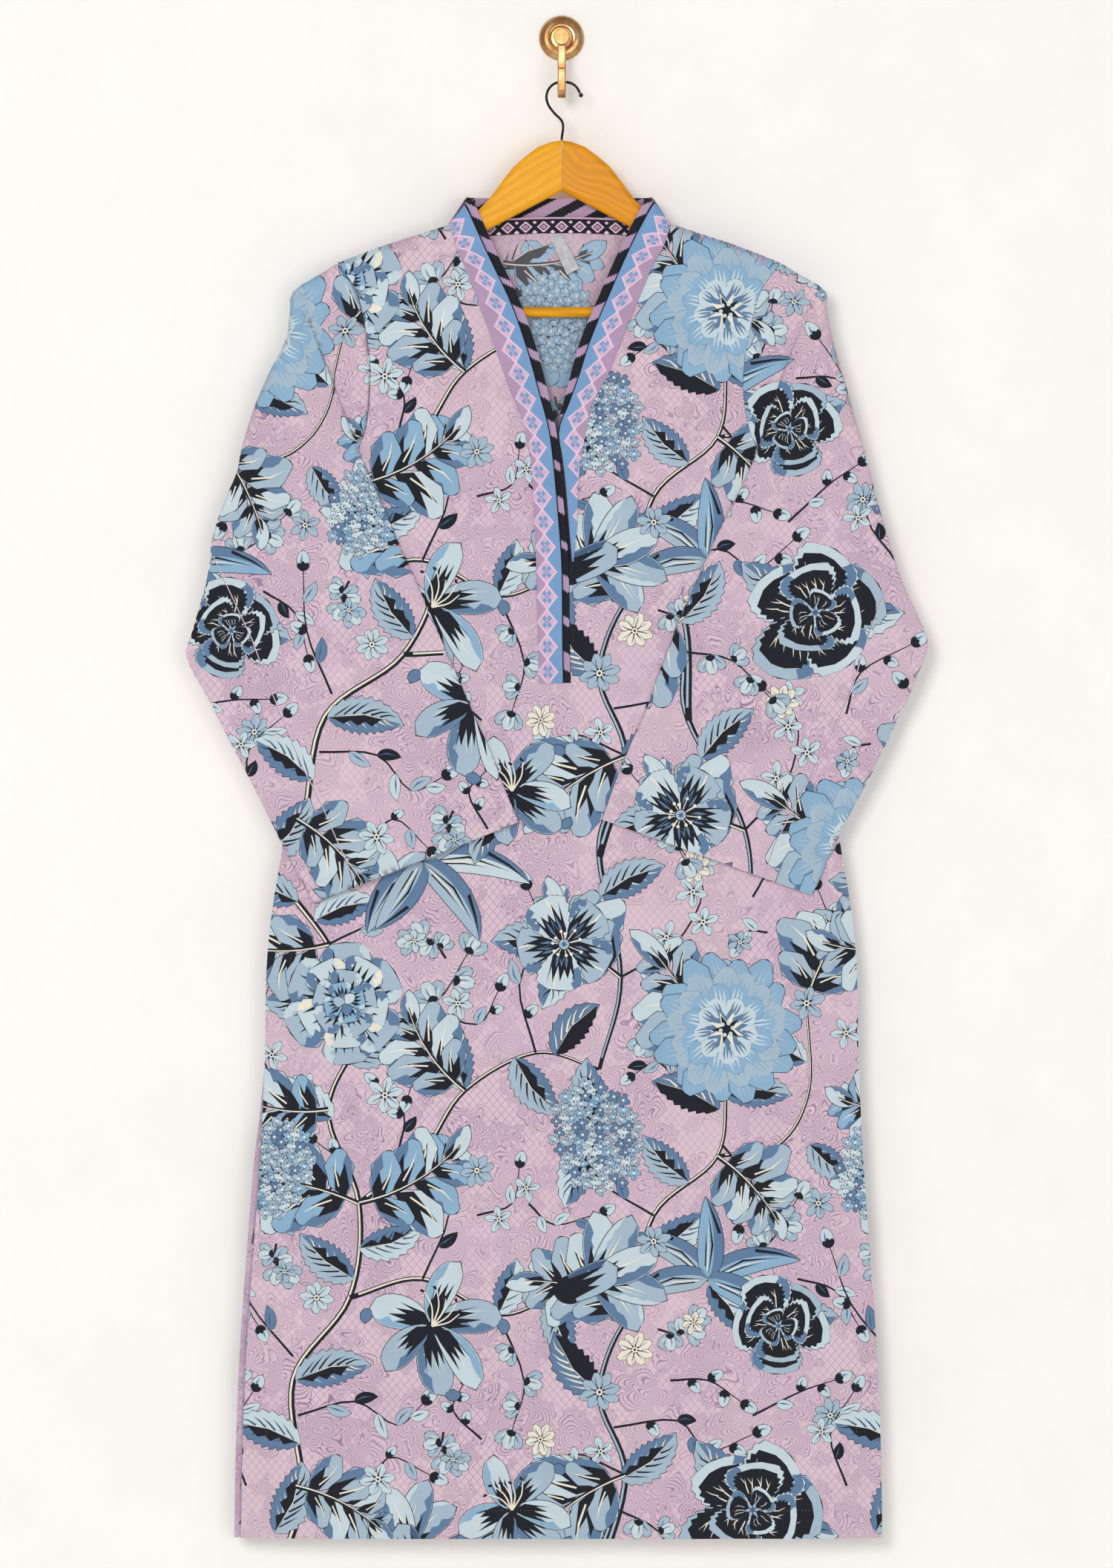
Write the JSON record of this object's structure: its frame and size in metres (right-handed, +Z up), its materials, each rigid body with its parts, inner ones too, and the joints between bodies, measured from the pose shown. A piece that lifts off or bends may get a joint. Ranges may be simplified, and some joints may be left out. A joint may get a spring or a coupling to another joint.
{
  "type": "kameez tunic on a wooden hanger and a wall hook",
  "caption": "Long kameez tunic with a bordered V neck, placket, long sleeves and side slits, hung flat on a wooden hanger from a round brass wall hook.",
  "frame": {"origin": "centre of the wall rosette's flat back face", "axes": "+Z up, +X to the viewer's right, the garment's front faces -Y, the wall is the plane Y = 0"},
  "size_m": [0.6296, 0.0466, 1.2976],
  "materials": {
    "printed_cotton": "plain woven cotton, matte, printed",
    "border_cotton": "plain woven cotton border, matte, printed",
    "striped_cotton": "plain woven cotton, matte, feathered stripes",
    "label_tape": "woven satin tape",
    "amber_wood": "varnished, satin",
    "steel_wire": "dark, smooth",
    "brass": "satin, lightly worn"
  },
  "bodies": {
    "root": {"body_front": "printed_cotton", "body_back": "printed_cotton", "sleeve_left": "printed_cotton", "sleeve_right": "printed_cotton", "neck_band_left": "border_cotton", "neck_band_right": "border_cotton", "neck_roll_left": "striped_cotton", "neck_roll_right": "striped_cotton", "neck_stand": "striped_cotton", "neck_strip": "striped_cotton", "neck_label": "label_tape", "hanger_arm_left": "amber_wood", "hanger_arm_right": "amber_wood", "hanger_bar": "amber_wood", "hanger_hook": "steel_wire", "hanger_hook_tip": "steel_wire", "wall_rosette": "brass", "wall_stem": "brass", "wall_hook_bar": "brass"}
  },
  "joints": []
}
